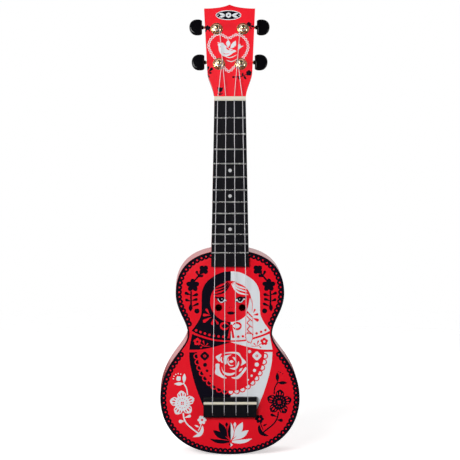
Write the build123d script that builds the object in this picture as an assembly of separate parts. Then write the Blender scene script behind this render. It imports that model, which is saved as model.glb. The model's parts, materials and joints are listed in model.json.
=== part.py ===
from build123d import *
from math import cos, radians, sin, sqrt
import os

# A soprano ukulele with a waisted body, a geared tuner for each of its four strings and a
# hollow box inside. Millimetres. Z runs up the neck, Y runs to the back, X to the player's left.
# The origin lies on the centre line, where the fretboard meets the nut, in the plane of the
# soundboard's face, which is also the plane where the fretboard is glued to the neck.

# Driving dimensions
scale_length = 346.0          # nut to saddle
fret_count = 12
string_spacing_nut = 9.35
string_spacing_saddle = 13.45
string_radius = 0.35

# Body: the outline's four stations, and how far each curve stays along its tangent there
tail_z = -405.2
lower_bout_z, lower_bout_half = -340.6, 79.75
waist_z, waist_half = -266.4, 48.1
upper_bout_z, upper_bout_half = -219.7, 61.95
shoulder_z = -170.2
tail_fullness = 66.0
lower_bout_fullness = (23.4, 41.5)
waist_fullness = (16.8, 14.5)
upper_bout_fullness = (19.9, 17.1)
shoulder_fullness = 55.8
inset_steps = 12              # points on each curve of an outline drawn inside the body's
body_depth = 60.0
plate_thickness = 2.0         # soundboard and back
rib_thickness = 1.8
plate_edge_round = 0.6
lining_width, lining_height = 5.0, 6.0
sound_hole_radius = 4.0
sound_hole_spacing = 26.9
sound_hole_z = -236.1
sound_hole_centre_x = 0.5
neck_block_half_width, neck_block_length = 24.0, 20.0
tail_block_half_width, tail_block_length = 20.0, 12.0

# Neck, fretboard and nut
neck_width_nut = 35.6
neck_width_end = 43.2
fretboard_length = 189.0
fretboard_thickness = 3.6
fret_width, fret_height = 1.9, 0.9
tang_width, tang_depth = 0.5, 1.5
dot_radius, dot_thickness = 2.0, 1.0
dot_spaces = (5, 7, 10)
nut_thickness = 4.9
nut_height = 5.75
dowel_radius = 4.0
dowel_depths = (14.0, 30.0)
dowel_low_z, dowel_high_z = -186.0, -162.0

# Bridge and saddle
bridge_half_width = 30.5
bridge_top_z, bridge_end_z = -338.4, -361.7
bridge_height = 7.0
saddle_z = -345.2
saddle_thickness = 3.2
saddle_string_height = 9.6    # string centre above the soundboard
nut_string_height = 5.3
string_entry_z = -355.8       # where a string sinks into its slot in the bridge
knot_z, knot_height, knot_radius = -359.0, 3.6, 1.15
knot_hole_radius = 1.5
slot_width = 1.0

# Headstock, tilted back
headstock_tilt = 14.0
headstock_thickness = 12.0
overlay_thickness = 0.4
headstock_length = 102.2      # along its face, to the corners
gable_height = 4.7
headstock_top_half = 29.1
headstock_hip_half = 25.5
headstock_hip_s = 28.2
upper_post = (15.0, 78.5)     # x and distance along the face from its lower end
lower_post = (12.4, 37.5)

# Tuners, in their own frame: x out towards the button, y up the headstock, z out of its face
worm_offset = 5.3
gear_teeth = 12
worm_pitch = 1.78
worm_depth = -15.6            # height of the worm's axis
worm_half_length = 4.2
shaft_radius = 1.55
worm_core_radius = 1.3
worm_outer_radius = 2.3
gear_root_radius = 2.85
gear_tip_radius = 3.9
gear_thickness = 3.0
tuner_plate_thickness = 1.0
ear_x, ear_thickness, ear_radius = 5.6, 1.0, 2.9
post_radius = 2.8
post_top = 10.4
stub_radius = 1.6
bushing_sleeve_radius = 4.0
bushing_flange_radius = 6.9
bushing_dome_radius = 5.7
bushing_height = 3.4
running_clearance = 0.05
screw_radius = 1.1
screw_head_radius = 1.9
lower_screw_y, upper_screw_y = -7.7, 10.3
winding_height = 5.0          # the string's own turn round the post, above the headstock's face
winding_step = 0.8            # from that turn to the first of the turns that go round with the post
winding_pitch = 0.66
winding_turns = 2
winding_radius = post_radius + string_radius + 0.02
string_wrap = 300             # degrees of the string's own turn
button_x = 16.3
button_length, button_half_height = 14.6, 8.9
button_flat_half = 7.2
button_thickness = 7.6
button_round = 1.8

parts = {}


def front_slab(face, front_y, back_y):
    """Extrudes a face drawn in X and Z so that it fills from front_y to back_y."""
    return extrude(Plane.XZ.offset(-back_y) * face, back_y - front_y)


def block(x_range, y_range, z_range):
    """A plain box between two values on each axis."""
    size = [high - low for low, high in (x_range, y_range, z_range)]
    middle = [(high + low) / 2 for low, high in (x_range, y_range, z_range)]
    return Pos(*middle) * Box(*size)


# Body

def half_outline():
    """The right half of the body's outline, from the tail to the top, as four curves."""
    tail, top = (0, tail_z), (0, shoulder_z)
    lower = (lower_bout_half, lower_bout_z)
    waist = (waist_half, waist_z)
    upper = (upper_bout_half, upper_bout_z)
    return [
        Bezier(tail, (tail_fullness, tail_z), (lower[0], lower[1] - lower_bout_fullness[0]), lower),
        Bezier(lower, (lower[0], lower[1] + lower_bout_fullness[1]),
               (waist[0], waist[1] - waist_fullness[0]), waist),
        Bezier(waist, (waist[0], waist[1] + waist_fullness[1]),
               (upper[0], upper[1] - upper_bout_fullness[0]), upper),
        Bezier(upper, (upper[0], upper[1] + upper_bout_fullness[1]), (shoulder_fullness, shoulder_z), top),
    ]


def drawn_in(edge, inset):
    """A smooth curve that stays a fixed distance inside one of the outline's curves."""
    points = []
    for step in range(inset_steps + 1):
        place = step / inset_steps
        tangent = edge % place
        points.append(edge @ place + Vector(-tangent.Y, tangent.X) * inset)
    return Spline(*points, tangents=(edge % 0, edge % 1))


def right_half(inset):
    """The right half of the outline, drawn in from the outside by inset."""
    return [drawn_in(edge, inset) for edge in half_outline()] if inset else half_outline()


def body_face(inset=0.0):
    """The whole outline as a flat face, drawn in from the outside by inset."""
    right = right_half(inset)
    left = [mirror(edge, about=Plane.YZ) for edge in right]
    return make_face(right + left)


def side_strip(outer_inset, inner_inset, front_y, back_y):
    """The right half of a wall that follows the outline, between two insets."""
    outer, inner = right_half(outer_inset), right_half(inner_inset)
    ends = [Line(outer[0] @ 0, inner[0] @ 0), Line(outer[-1] @ 1, inner[-1] @ 1)]
    return front_slab(make_face(outer + inner + ends), front_y, back_y)


def make_plates():
    """Soundboard with its two round holes, and the back."""
    soundboard = front_slab(body_face(), 0, plate_thickness)
    soundboard = fillet(soundboard.faces().sort_by(Axis.Y)[0].edges(), plate_edge_round)
    for side in (-1, 1):
        x = sound_hole_centre_x + side * sound_hole_spacing / 2
        soundboard -= Pos(x, plate_thickness / 2, sound_hole_z) * Rot(90, 0, 0) * Cylinder(sound_hole_radius, 9)
    back = front_slab(body_face(), body_depth - plate_thickness, body_depth)
    back = fillet(back.faces().sort_by(Axis.Y)[-1].edges(), plate_edge_round)
    parts["soundboard"] = soundboard
    parts["back"] = back


def dowels():
    """The two dowels that pin the heel to the neck block."""
    length = dowel_high_z - dowel_low_z
    middle = (dowel_high_z + dowel_low_z) / 2
    return [Pos(0, y, middle) * Cylinder(dowel_radius, length) for y in dowel_depths]


def make_ribs():
    """The bent sides, one strip each side, joined at the tail and under the heel."""
    rib = side_strip(0, rib_thickness, plate_thickness, body_depth - plate_thickness)
    for pin in dowels():
        rib -= pin
    parts["rib_right"] = rib
    parts["rib_left"] = mirror(rib, about=Plane.YZ)


def make_inside():
    """Blocks, linings and braces, which only show through the sound holes."""
    inner_y, outer_y = plate_thickness, body_depth - plate_thickness
    cavity = front_slab(body_face(rib_thickness), inner_y, outer_y)
    core = front_slab(body_face(rib_thickness + lining_width), inner_y, outer_y)
    top_of_cavity = shoulder_z - rib_thickness
    bottom_of_cavity = tail_z + rib_thickness
    neck_zone = block((-neck_block_half_width, neck_block_half_width), (inner_y, outer_y),
                      (top_of_cavity - neck_block_length, top_of_cavity + 5))
    tail_zone = block((-tail_block_half_width, tail_block_half_width), (inner_y, outer_y),
                      (bottom_of_cavity - 5, bottom_of_cavity + tail_block_length))
    neck_block = cavity & neck_zone
    for pin in dowels():
        neck_block -= pin
    parts["neck_block"] = neck_block
    parts["tail_block"] = cavity & tail_zone
    for place, front_y in (("top", inner_y), ("back", outer_y - lining_height)):
        lining = side_strip(rib_thickness, rib_thickness + lining_width, front_y, front_y + lining_height)
        lining = (lining - neck_zone - tail_zone).solids()[0]
        parts[f"{place}_linings"] = Compound(children=[lining, mirror(lining, about=Plane.YZ)])
    parts["top_braces"] = braces(core, (-207.0, -262.0), inner_y, inner_y + 7.0, 5.0)
    parts["back_braces"] = braces(core, (-220.0, -285.0, -345.0), outer_y - 8.0, outer_y, 6.0)
    parts["bridge_plate"] = block((-34, 34), (inner_y, inner_y + 1.6), (bridge_end_z - 3, bridge_top_z + 3))


def braces(core, places, low_y, high_y, width):
    """Cross bars of one width, each cut to the space between the linings."""
    bars = [core & block((-100, 100), (low_y, high_y), (z - width / 2, z + width / 2)) for z in places]
    return Compound(children=[bar.solids()[0] for bar in bars])


# Neck and fretboard

def neck_width(z):
    """Width of the fretboard and neck at a height z."""
    return neck_width_nut + (neck_width_end - neck_width_nut) * -z / fretboard_length


def neck_section(z, depth, round_radius):
    """A section across the neck: flat in front, with straight flanks and a rounded back."""
    half = neck_width(min(z, 0)) / 2
    corner = half - round_radius
    quarter = round_radius * sin(radians(45))
    flank = depth - round_radius
    outline = [
        Line((-half, 0), (half, 0)),
        Line((half, 0), (half, flank)),
        ThreePointArc((half, flank), (corner + quarter, flank + quarter), (corner, depth)),
        Line((corner, depth), (-corner, depth)),
        ThreePointArc((-corner, depth), (-corner - quarter, flank + quarter), (-half, flank)),
        Line((-half, flank), (-half, 0)),
    ]
    return Pos(0, 0, z) * make_face(outline)


def make_neck():
    """The shaft and its heel, cut to fit the body's shoulder."""
    grip = [(nut_thickness, 12.4, 3.0), (-9.0, 14.4, 10.5), (-60.0, 15.4, 13.0), (-122.0, 17.2, 15.0)]
    heel = [(-122.0, 17.2, 15.0), (-140.0, 20.2, 16.0), (-152.0, 27.0, 17.0), (-161.0, 38.5, 18.0),
            (-168.0, 50.0, 18.5), (-178.0, 57.5, 19.0)]
    neck = loft([neck_section(*place) for place in grip]) + loft([neck_section(*place) for place in heel])
    neck -= front_slab(body_face(), 0, body_depth)
    for pin in dowels():
        neck -= pin
    parts["neck"] = neck
    parts["neck_dowels"] = Compound(children=dowels())


def fret_z(number):
    """Distance of a fret from the nut, by the rule of equal temperament."""
    return -scale_length * (1 - 2 ** (-number / 12))


def make_fretboard():
    """Fretboard with sawn slots and dot pockets, its twelve frets and its dots."""
    top_half, end_half = neck_width_nut / 2, neck_width_end / 2
    board = front_slab(make_face(Polyline((-top_half, 0), (top_half, 0), (end_half, -fretboard_length),
                                          (-end_half, -fretboard_length), close=True)), -fretboard_thickness, 0)
    frets = []
    for number in range(1, fret_count + 1):
        z = fret_z(number)
        width = neck_width(z)
        tang = Pos(0, tang_depth / 2 - fretboard_thickness, z) * Box(width - 1.0, tang_depth, tang_width)
        crown = ThreePointArc((-fretboard_thickness, -fret_width / 2), (-fretboard_thickness - fret_height, 0),
                              (-fretboard_thickness, fret_width / 2))
        bead = extrude(Plane(origin=(-width / 2 + 0.3, 0, z), x_dir=(0, 1, 0), z_dir=(1, 0, 0))
                       * make_face([crown, Line(crown @ 1, crown @ 0)]), width - 0.6)
        board -= tang
        frets.append((bead + tang).solids()[0])
    dots = []
    for space in dot_spaces:
        z = (fret_z(space) + fret_z(space - 1)) / 2
        dot = Pos(0, dot_thickness / 2 - fretboard_thickness, z) * Rot(90, 0, 0) * Cylinder(dot_radius, dot_thickness)
        board -= dot
        dots.append(dot)
    parts["fretboard"] = board
    parts["frets"] = Compound(children=frets)
    parts["fret_dots"] = Compound(children=dots)


# Headstock

face_plane = Plane(origin=(0, 0, nut_thickness), x_dir=(1, 0, 0),
                   z_dir=(0, -cos(radians(headstock_tilt)), sin(radians(headstock_tilt))))


def headstock_side(side):
    """One edge of the headstock's outline, from the nut up to its corner."""
    foot, hip = neck_width_nut / 2, headstock_hip_half
    return [
        Bezier((side * foot, -4), (side * foot, 10), (side * (hip - 0.4), 19.5), (side * hip, headstock_hip_s)),
        Line((side * hip, headstock_hip_s), (side * headstock_top_half, headstock_length)),
    ]


def headstock_face(gable):
    """The headstock's outline, with its pointed gable or cut straight across."""
    corner = headstock_top_half
    peak = (0, headstock_length + gable_height)
    bottom = Line((-neck_width_nut / 2, -4), (neck_width_nut / 2, -4))
    if gable:
        top = [Bezier((side * corner, headstock_length), (side * 12, headstock_length + 0.3),
                      (side * 5, headstock_length + 2.4), peak) for side in (-1, 1)]
    else:
        top = [Line((-corner, headstock_length), (corner, headstock_length))]
    return make_face(headstock_side(1) + headstock_side(-1) + top + [bottom])


def tuner_frames():
    """Name, post position, and side of each tuner. A left tuner is a right one mirrored."""
    places = (("g", -1, lower_post), ("c", -1, upper_post), ("e", 1, upper_post), ("a", 1, lower_post))
    return [(name, side, x, s) for name, side, (x, s) in places]


def place_tuner(shape, side, x, s):
    """Moves a piece from a tuner's own frame to its place on the headstock."""
    placed = face_plane * Pos(x, s, 0) * shape
    return placed if side > 0 else mirror(placed, about=Plane.YZ)


def make_headstock():
    """The headstock with its tuner holes, and the thin printed overlay on its face."""
    slab = extrude(headstock_face(True), -headstock_thickness)
    back_edges = slab.edges().group_by(Axis.Z)[0].filter_by(lambda edge: edge.center().Y > 5)
    slab = fillet(back_edges, 1.5)
    slab -= Pos(0, 50, -overlay_thickness / 2) * Box(80, 130, overlay_thickness)
    overlay = extrude(Pos(0, 0, -overlay_thickness) * headstock_face(False), overlay_thickness)
    slab, overlay = face_plane * slab, face_plane * overlay
    below_nut = block((-60, 60), (-60, 60), (-60, nut_thickness))
    slab -= below_nut
    overlay -= below_nut
    for name, side, x, s in tuner_frames():
        hole = Pos(0, 0, -6) * Cylinder(bushing_sleeve_radius, 30)
        slab -= place_tuner(hole, side, x, s)
        overlay -= place_tuner(hole, side, x, s)
        for y in (lower_screw_y, upper_screw_y):
            pilot = Pos(0, y, -headstock_thickness + 3.5) * Cylinder(screw_radius, 7)
            slab -= place_tuner(pilot, side, x, s)
    parts["headstock"] = slab
    parts["headstock_overlay"] = overlay


# Tuners

def make_bushing():
    """Flanged, domed bushing that guides the post through the headstock."""
    flange_height = 0.9
    shoulder = post_radius + 0.9
    bore = post_radius + running_clearance
    dome = ThreePointArc((bushing_dome_radius, flange_height), (bushing_dome_radius - 0.75, bushing_height - 0.75),
                         (shoulder, bushing_height))
    profile = make_face([
        Line((bore, -9), (bushing_sleeve_radius, -9)),
        Line((bushing_sleeve_radius, -9), (bushing_sleeve_radius, 0)),
        Line((bushing_sleeve_radius, 0), (bushing_flange_radius, 0)),
        Line((bushing_flange_radius, 0), (bushing_flange_radius, flange_height - 0.35)),
        Line((bushing_flange_radius, flange_height - 0.35), (bushing_flange_radius - 0.35, flange_height)),
        Line((bushing_flange_radius - 0.35, flange_height), (bushing_dome_radius, flange_height)),
        dome,
        Line((shoulder, bushing_height), (bore, bushing_height)),
        Line((bore, bushing_height), (bore, -9)),
    ])
    return revolve(Plane.XZ * profile, axis=Axis.Z)


def make_post():
    """String post with a rounded top, a cross hole, and a stub that carries the gear."""
    gear_top = worm_depth + gear_thickness / 2
    gear_bottom = worm_depth - gear_thickness / 2
    post = Pos(0, 0, (post_top + gear_top) / 2) * Cylinder(post_radius, post_top - gear_top)
    post = fillet(post.edges().group_by(Axis.Z)[-1], 1.4)
    post -= Pos(0, 0, winding_height + 2.6) * Rot(90, 0, 0) * Cylinder(0.7, 9)
    post += Pos(0, 0, (gear_top + gear_bottom) / 2) * Cylinder(stub_radius, gear_thickness)
    return post - Pos(0, 0, gear_bottom + 1.5) * Cylinder(0.9, 3.0)


def make_gear():
    """Worm wheel: thin straight teeth with plenty of backlash, and a hole for the post's stub."""
    half_root, half_tip = 0.42, 0.2
    profile = Circle(gear_root_radius)
    tooth = make_face(Polyline((-half_root, gear_root_radius - 0.3), (half_root, gear_root_radius - 0.3),
                               (half_tip, gear_tip_radius), (-half_tip, gear_tip_radius), close=True))
    for index in range(gear_teeth):
        profile += Rot(0, 0, 360 * (index + 0.5) / gear_teeth) * tooth
    gear = extrude(Pos(0, 0, worm_depth - gear_thickness / 2) * profile, gear_thickness)
    return gear - Pos(0, 0, worm_depth) * Cylinder(stub_radius, gear_thickness)


def make_gear_screw():
    """Slotted screw that holds the gear on the post."""
    gear_bottom = worm_depth - gear_thickness / 2
    head = Pos(0, 0, gear_bottom - 0.6) * Cylinder(2.3, 1.2)
    head = fillet(head.edges().group_by(Axis.Z)[0], 0.5)
    head -= Pos(0, 0, gear_bottom - 1.2) * Box(6, 0.6, 1.0)
    return head + Pos(0, 0, gear_bottom + 1.5) * Cylinder(0.9, 3.0)


def make_worm_shaft():
    """Shaft with a single-start thread between the ears, running out into the button."""
    inner_end, outer_end = -ear_x - ear_thickness - 0.6, button_x + 8.0
    core = Rot(0, 90, 0) * Cylinder(worm_core_radius, 2 * worm_half_length)
    inner = Pos((inner_end - worm_half_length) / 2, 0, 0) * Rot(0, 90, 0) \
        * Cylinder(shaft_radius, -worm_half_length - inner_end)
    outer = Pos((outer_end + worm_half_length) / 2, 0, 0) * Rot(0, 90, 0) \
        * Cylinder(shaft_radius, outer_end - worm_half_length)
    half_root, half_tip = 0.30, 0.15
    coil = Helix(pitch=worm_pitch, height=4 * worm_pitch, radius=worm_core_radius)
    section = Plane(origin=coil @ 0, x_dir=(1, 0, 0), z_dir=coil % 0) * make_face(Polyline(
        (-0.15, -half_root), (worm_outer_radius - worm_core_radius, -half_tip),
        (worm_outer_radius - worm_core_radius, half_tip), (-0.15, half_root), close=True))
    thread = sweep(section, path=coil, is_frenet=True)
    thread = Pos(-2 * worm_pitch, 0, 0) * Rot(-90, 0, 0) * Rot(0, 90, 0) * thread
    return Pos(0, worm_offset, worm_depth) * (core + thread + inner + outer)


def make_button():
    """Rounded D-shaped button, flat towards the headstock, on a short boss."""
    top = (5.6, button_half_height)
    tip = (button_length, 0)
    upper = [Bezier((0, button_flat_half), (1.6, button_half_height), (3.6, button_half_height), top),
             Bezier(top, (10.8, button_half_height), (button_length, 5.4), tip)]
    lower = [mirror(edge, about=Plane.XZ) for edge in upper]
    face = make_face(upper + lower + [Line((0, -button_flat_half), (0, button_flat_half))])
    button = extrude(face, button_thickness / 2, both=True)
    rims = button.faces().sort_by(Axis.Z)
    button = fillet(rims[0].edges() + rims[-1].edges(), button_round)
    boss = Pos(-0.75, 0, 0) * Rot(0, 90, 0) * Cylinder(2.3, 1.5)
    bore = Pos(3.25, 0, 0) * Rot(0, 90, 0) * Cylinder(shaft_radius, 9.5)
    return Pos(button_x, worm_offset, worm_depth) * (button + boss - bore)


def make_tuner_plate():
    """Base plate with two bent-up ears that carry the worm shaft."""
    low_z = -headstock_thickness - tuner_plate_thickness
    sheet = Pos(0, 1.3, low_z + tuner_plate_thickness / 2) * Box(13.6, 23.2, tuner_plate_thickness)
    sheet = fillet(sheet.edges().filter_by(Axis.Z), 2.5)
    for x in (-ear_x, ear_x):
        stem = Pos(x, worm_offset, (low_z + worm_depth) / 2) * Box(ear_thickness, 2 * ear_radius, low_z - worm_depth)
        eye = Pos(x, worm_offset, worm_depth) * Rot(0, 90, 0) * Cylinder(ear_radius, ear_thickness)
        sheet += stem + eye
        sheet -= Pos(x, worm_offset, worm_depth) * Rot(0, 90, 0) * Cylinder(shaft_radius + running_clearance, 3)
    sheet -= Pos(0, 0, low_z) * Cylinder(post_radius + running_clearance, 4)
    for y in (lower_screw_y, upper_screw_y):
        sheet -= Pos(0, y, low_z) * Cylinder(screw_radius, 4)
    return sheet


def make_plate_screw(y):
    """Small pan-head wood screw with a cross slot."""
    top = -headstock_thickness - tuner_plate_thickness
    head = Pos(0, y, top - 0.6) * Cylinder(screw_head_radius, 1.2)
    head = fillet(head.edges().group_by(Axis.Z)[0], 0.55)
    for size in ((2.4, 0.5), (0.5, 2.4)):
        head -= Pos(0, y, top - 1.1) * Box(*size, 0.9)
    shank_length = 7.0 + tuner_plate_thickness
    return head + Pos(0, y, top + shank_length / 2) * Cylinder(screw_radius, shank_length)


# Strings

def nut_point(index):
    """Where a string crosses the nut's crest."""
    return Vector((index - 1.5) * string_spacing_nut, -nut_string_height, nut_thickness / 2)


def leaving_point(index, side, x, s):
    """Where a string leaves its post, and the direction from the post's axis to that place."""
    near = face_plane.to_local_coords(nut_point(index))
    centre = Vector(side * x, s, 0)
    to_nut = Vector(near.X - centre.X, near.Y - centre.Y, 0)
    reach = sqrt(to_nut.length ** 2 - winding_radius ** 2)
    along = to_nut.normalized()
    across = Vector(-along.Y, along.X, 0) * side
    arm = along * (winding_radius ** 2 / to_nut.length) - across * (winding_radius * reach / to_nut.length)
    return (face_plane.from_local_coords(centre + arm + Vector(0, 0, winding_height)),
            face_plane.from_local_coords(arm) - face_plane.origin)


def make_string(index, side, x, s):
    """One string, from its turn round the post over the nut and saddle to its knot in the bridge."""
    saddle_x = (index - 1.5) * string_spacing_saddle
    knot = Vector(saddle_x, -knot_height, knot_z)
    touch, arm = leaving_point(index, side, x, s)
    run = (nut_point(index) - touch).normalized()
    turn_plane = Plane(origin=touch - arm, x_dir=arm, z_dir=arm.cross(run))
    turn = turn_plane * CenterArc((0, 0), winding_radius, -string_wrap, string_wrap)
    rest = FilletPolyline(
        touch,
        nut_point(index),
        Vector(saddle_x, -saddle_string_height, saddle_z),
        Vector(saddle_x, -bridge_height - string_radius / 2, string_entry_z),
        knot,
        radius=[6.0, 5.0, 1.5])
    path = Wire([*turn.edges(), *rest.edges()])
    return sweep(Plane(origin=path @ 0, z_dir=path % 0) * Circle(string_radius), path=path) + Pos(*knot) * Sphere(knot_radius)


def make_winding(side, x, s):
    """The turns of string that go round with a post."""
    first = winding_height + winding_step
    turns = Pos(0, 0, first) * Torus(winding_radius, string_radius)
    for turn in range(1, winding_turns):
        turns += Pos(0, 0, first + turn * winding_pitch) * Torus(winding_radius, string_radius)
    return face_plane * Pos(side * x, s, 0) * turns


def make_strings_and_tuners():
    """Every string with its tuner's own pieces."""
    pieces = {
        "bushing": make_bushing(), "post": make_post(), "gear": make_gear(), "gear_screw": make_gear_screw(),
        "worm_shaft": make_worm_shaft(), "button": make_button(), "tuner_plate": make_tuner_plate(),
    }
    screws = []
    for index, (name, side, x, s) in enumerate(tuner_frames()):
        for piece, shape in pieces.items():
            parts[f"{name}_{piece}"] = place_tuner(shape, side, x, s)
        screws += [place_tuner(make_plate_screw(y), side, x, s) for y in (lower_screw_y, upper_screw_y)]
        parts[f"{name}_winding"] = make_winding(side, x, s)
        parts[f"{name}_string"] = make_string(index, side, x, s)
    parts["tuner_screws"] = Compound(children=[screw.solids()[0] for screw in screws])


# Nut, bridge and saddle

def groove(start, end):
    """A cutter that leaves room for one string between two of its points."""
    path = Line(start, end)
    return sweep(Plane(origin=path @ 0, z_dir=path % 0) * Circle(string_radius + 0.03), path=path)


def make_nut():
    """Nut with a rounded crest and a notch for each string."""
    half = neck_width_nut / 2
    crest = nut_height - 0.9
    section = make_face([
        Line((0, 0), (0, crest)),
        ThreePointArc((0, crest), (nut_thickness / 2, nut_height), (nut_thickness, crest)),
        Line((nut_thickness, crest), (nut_thickness, 0)),
        Line((nut_thickness, 0), (0, 0)),
    ])
    nut = extrude(Plane(origin=(-half, 0, 0), x_dir=(0, 0, 1), z_dir=(1, 0, 0)) * section, 2 * half)
    for index in range(4):
        crossing = nut_point(index)
        x_step = (string_spacing_saddle - string_spacing_nut) * (index - 1.5) / scale_length * 6
        nut -= groove(crossing, crossing + Vector(x_step, -0.07, -6))
        name, side, x, s = tuner_frames()[index]
        far, arm = leaving_point(index, side, x, s)
        nut -= groove(crossing, crossing + (far - crossing).normalized() * 6)
        nut -= Pos(*crossing) * Sphere(string_radius + 0.03)
    parts["nut"] = nut


def make_bridge():
    """Bridge block with bevelled long edges, a saddle slot and a keyhole slot for each string."""
    bridge = block((-bridge_half_width, bridge_half_width), (-bridge_height, 0), (bridge_end_z, bridge_top_z))
    top_edges = bridge.faces().sort_by(Axis.Y)[0].edges()
    bridge = fillet(top_edges, 1.3)
    saddle_zone = block((-bridge_half_width - 1, bridge_half_width + 1), (-bridge_height - 1, -2.5),
                        (saddle_z - saddle_thickness / 2, saddle_z + saddle_thickness / 2))
    bridge -= saddle_zone
    for index in range(4):
        x = (index - 1.5) * string_spacing_saddle
        bridge -= block((x - slot_width / 2, x + slot_width / 2), (-bridge_height - 1, -knot_height),
                        (bridge_end_z - 1, string_entry_z + 1.8))
        bridge -= Pos(x, -knot_height, bridge_end_z + 2.5) * Cylinder(knot_hole_radius, 7)
    parts["bridge"] = bridge


def make_saddle():
    """Saddle bar, full width, with a rounded crest that each string sits on."""
    half = bridge_half_width - 0.3
    crest = saddle_string_height - 0.15
    shoulder = crest - 1.2
    low, high = saddle_z - saddle_thickness / 2, saddle_z + saddle_thickness / 2
    section = make_face([
        Line((low, 2.5), (low, shoulder)),
        ThreePointArc((low, shoulder), (saddle_z, crest), (high, shoulder)),
        Line((high, shoulder), (high, 2.5)),
        Line((high, 2.5), (low, 2.5)),
    ])
    saddle = extrude(Plane(origin=(-half, 0, 0), x_dir=(0, 0, 1), z_dir=(1, 0, 0)) * section, 2 * half)
    for index in range(4):
        x = (index - 1.5) * string_spacing_saddle
        top = Vector(x, -saddle_string_height, saddle_z)
        x_step = (string_spacing_saddle - string_spacing_nut) * (index - 1.5) / scale_length * 4
        rise = (saddle_string_height - nut_string_height) / scale_length * 4
        saddle -= groove(top, top + Vector(-x_step, rise, 4))
        fall = saddle_string_height - bridge_height - string_radius / 2
        saddle -= groove(top, top + Vector(0, fall * 4 / (saddle_z - string_entry_z), -4))
        saddle -= Pos(*top) * Sphere(string_radius + 0.03)
    parts["saddle"] = saddle


make_plates()
make_ribs()
make_inside()
make_neck()
make_fretboard()
make_headstock()
make_nut()
make_bridge()
make_saddle()
make_strings_and_tuners()

os.makedirs("parts", exist_ok=True)
for name, shape in parts.items():
    export_step(shape, f"parts/{name}.step")
    print(f"{name}: {shape.volume:.1f} mm3")
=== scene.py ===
import json
import math
import bpy
from mathutils import Matrix, Vector
from mathutils.geometry import delaunay_2d_cdt


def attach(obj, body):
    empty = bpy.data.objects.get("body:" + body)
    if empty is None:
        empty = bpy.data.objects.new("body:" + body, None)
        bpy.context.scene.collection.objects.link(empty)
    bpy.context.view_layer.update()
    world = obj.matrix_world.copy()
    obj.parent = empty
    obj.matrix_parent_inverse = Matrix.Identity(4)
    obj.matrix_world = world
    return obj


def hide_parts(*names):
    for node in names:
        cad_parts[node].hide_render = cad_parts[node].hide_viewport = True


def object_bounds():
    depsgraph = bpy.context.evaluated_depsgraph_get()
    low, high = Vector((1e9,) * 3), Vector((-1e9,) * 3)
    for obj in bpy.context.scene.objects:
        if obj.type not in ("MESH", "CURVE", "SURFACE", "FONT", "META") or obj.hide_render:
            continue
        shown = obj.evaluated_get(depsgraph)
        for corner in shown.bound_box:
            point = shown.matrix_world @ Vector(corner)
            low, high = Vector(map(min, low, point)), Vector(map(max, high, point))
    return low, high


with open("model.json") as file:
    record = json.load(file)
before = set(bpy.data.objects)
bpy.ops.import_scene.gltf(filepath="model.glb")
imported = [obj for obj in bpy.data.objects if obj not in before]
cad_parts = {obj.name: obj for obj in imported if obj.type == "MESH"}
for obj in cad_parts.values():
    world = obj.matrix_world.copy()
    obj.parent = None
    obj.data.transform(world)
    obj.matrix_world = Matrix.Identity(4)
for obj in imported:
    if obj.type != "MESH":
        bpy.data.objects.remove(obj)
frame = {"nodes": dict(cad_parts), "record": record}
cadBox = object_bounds()
mm = 0.001
bodyOf = {node: body for body, nodes in frame["record"]["behaviour"]["bodies"].items() for node in nodes}
slotOf = {part["node"]: part["material_slot"] for part in frame["record"]["subparts"]}
print("frame loaded:", len(frame["nodes"]), "nodes")

# camera first: nearly level, a little above and to the left, from far enough back to stay flat
cameraSetup = {"distance": 3.0, "azimuth": -1.0, "elevation": 4.7, "lens": 206.3,
               "lookAt": (0.0, 0.0, -0.1472)}


def addCamera(setup):
    azimuth, elevation = math.radians(setup["azimuth"]), math.radians(setup["elevation"])
    away = Vector((math.sin(azimuth) * math.cos(elevation), -math.cos(azimuth) * math.cos(elevation),
                   math.sin(elevation)))
    target = Vector(setup["lookAt"])
    data = bpy.data.cameras.new("camera")
    data.lens = setup["lens"]
    data.clip_end = 100
    camera = bpy.data.objects.new("camera", data)
    camera.location = target + away * setup["distance"]
    camera.rotation_euler = away.to_track_quat("Z", "Y").to_euler()
    bpy.context.scene.collection.objects.link(camera)
    bpy.context.scene.camera = camera


addCamera(cameraSetup)
bpy.context.scene.view_settings.view_transform = "Standard"
print("camera placed")

# shared effects, each built once


def newGroup(name, inputs, outputs):
    group = bpy.data.node_groups.new(name, "ShaderNodeTree")
    for label, kind, value in inputs:
        socket = group.interface.new_socket(name=label, in_out="INPUT", socket_type=kind)
        if value is not None:
            socket.default_value = value
    for label, kind in outputs:
        group.interface.new_socket(name=label, in_out="OUTPUT", socket_type=kind)
    start, end = group.nodes.new("NodeGroupInput"), group.nodes.new("NodeGroupOutput")
    start.location, end.location = (-900, 0), (600, 0)
    return group, start, end


def addNode(tree, kind, place, values=None, **settings):
    node = tree.nodes.new(kind)
    node.location = place
    for key, value in settings.items():
        setattr(node, key, value)
    for key, value in (values or {}).items():
        node.inputs[key].default_value = value
    return node


def link(tree, source, target):
    tree.links.new(source, target)


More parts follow.
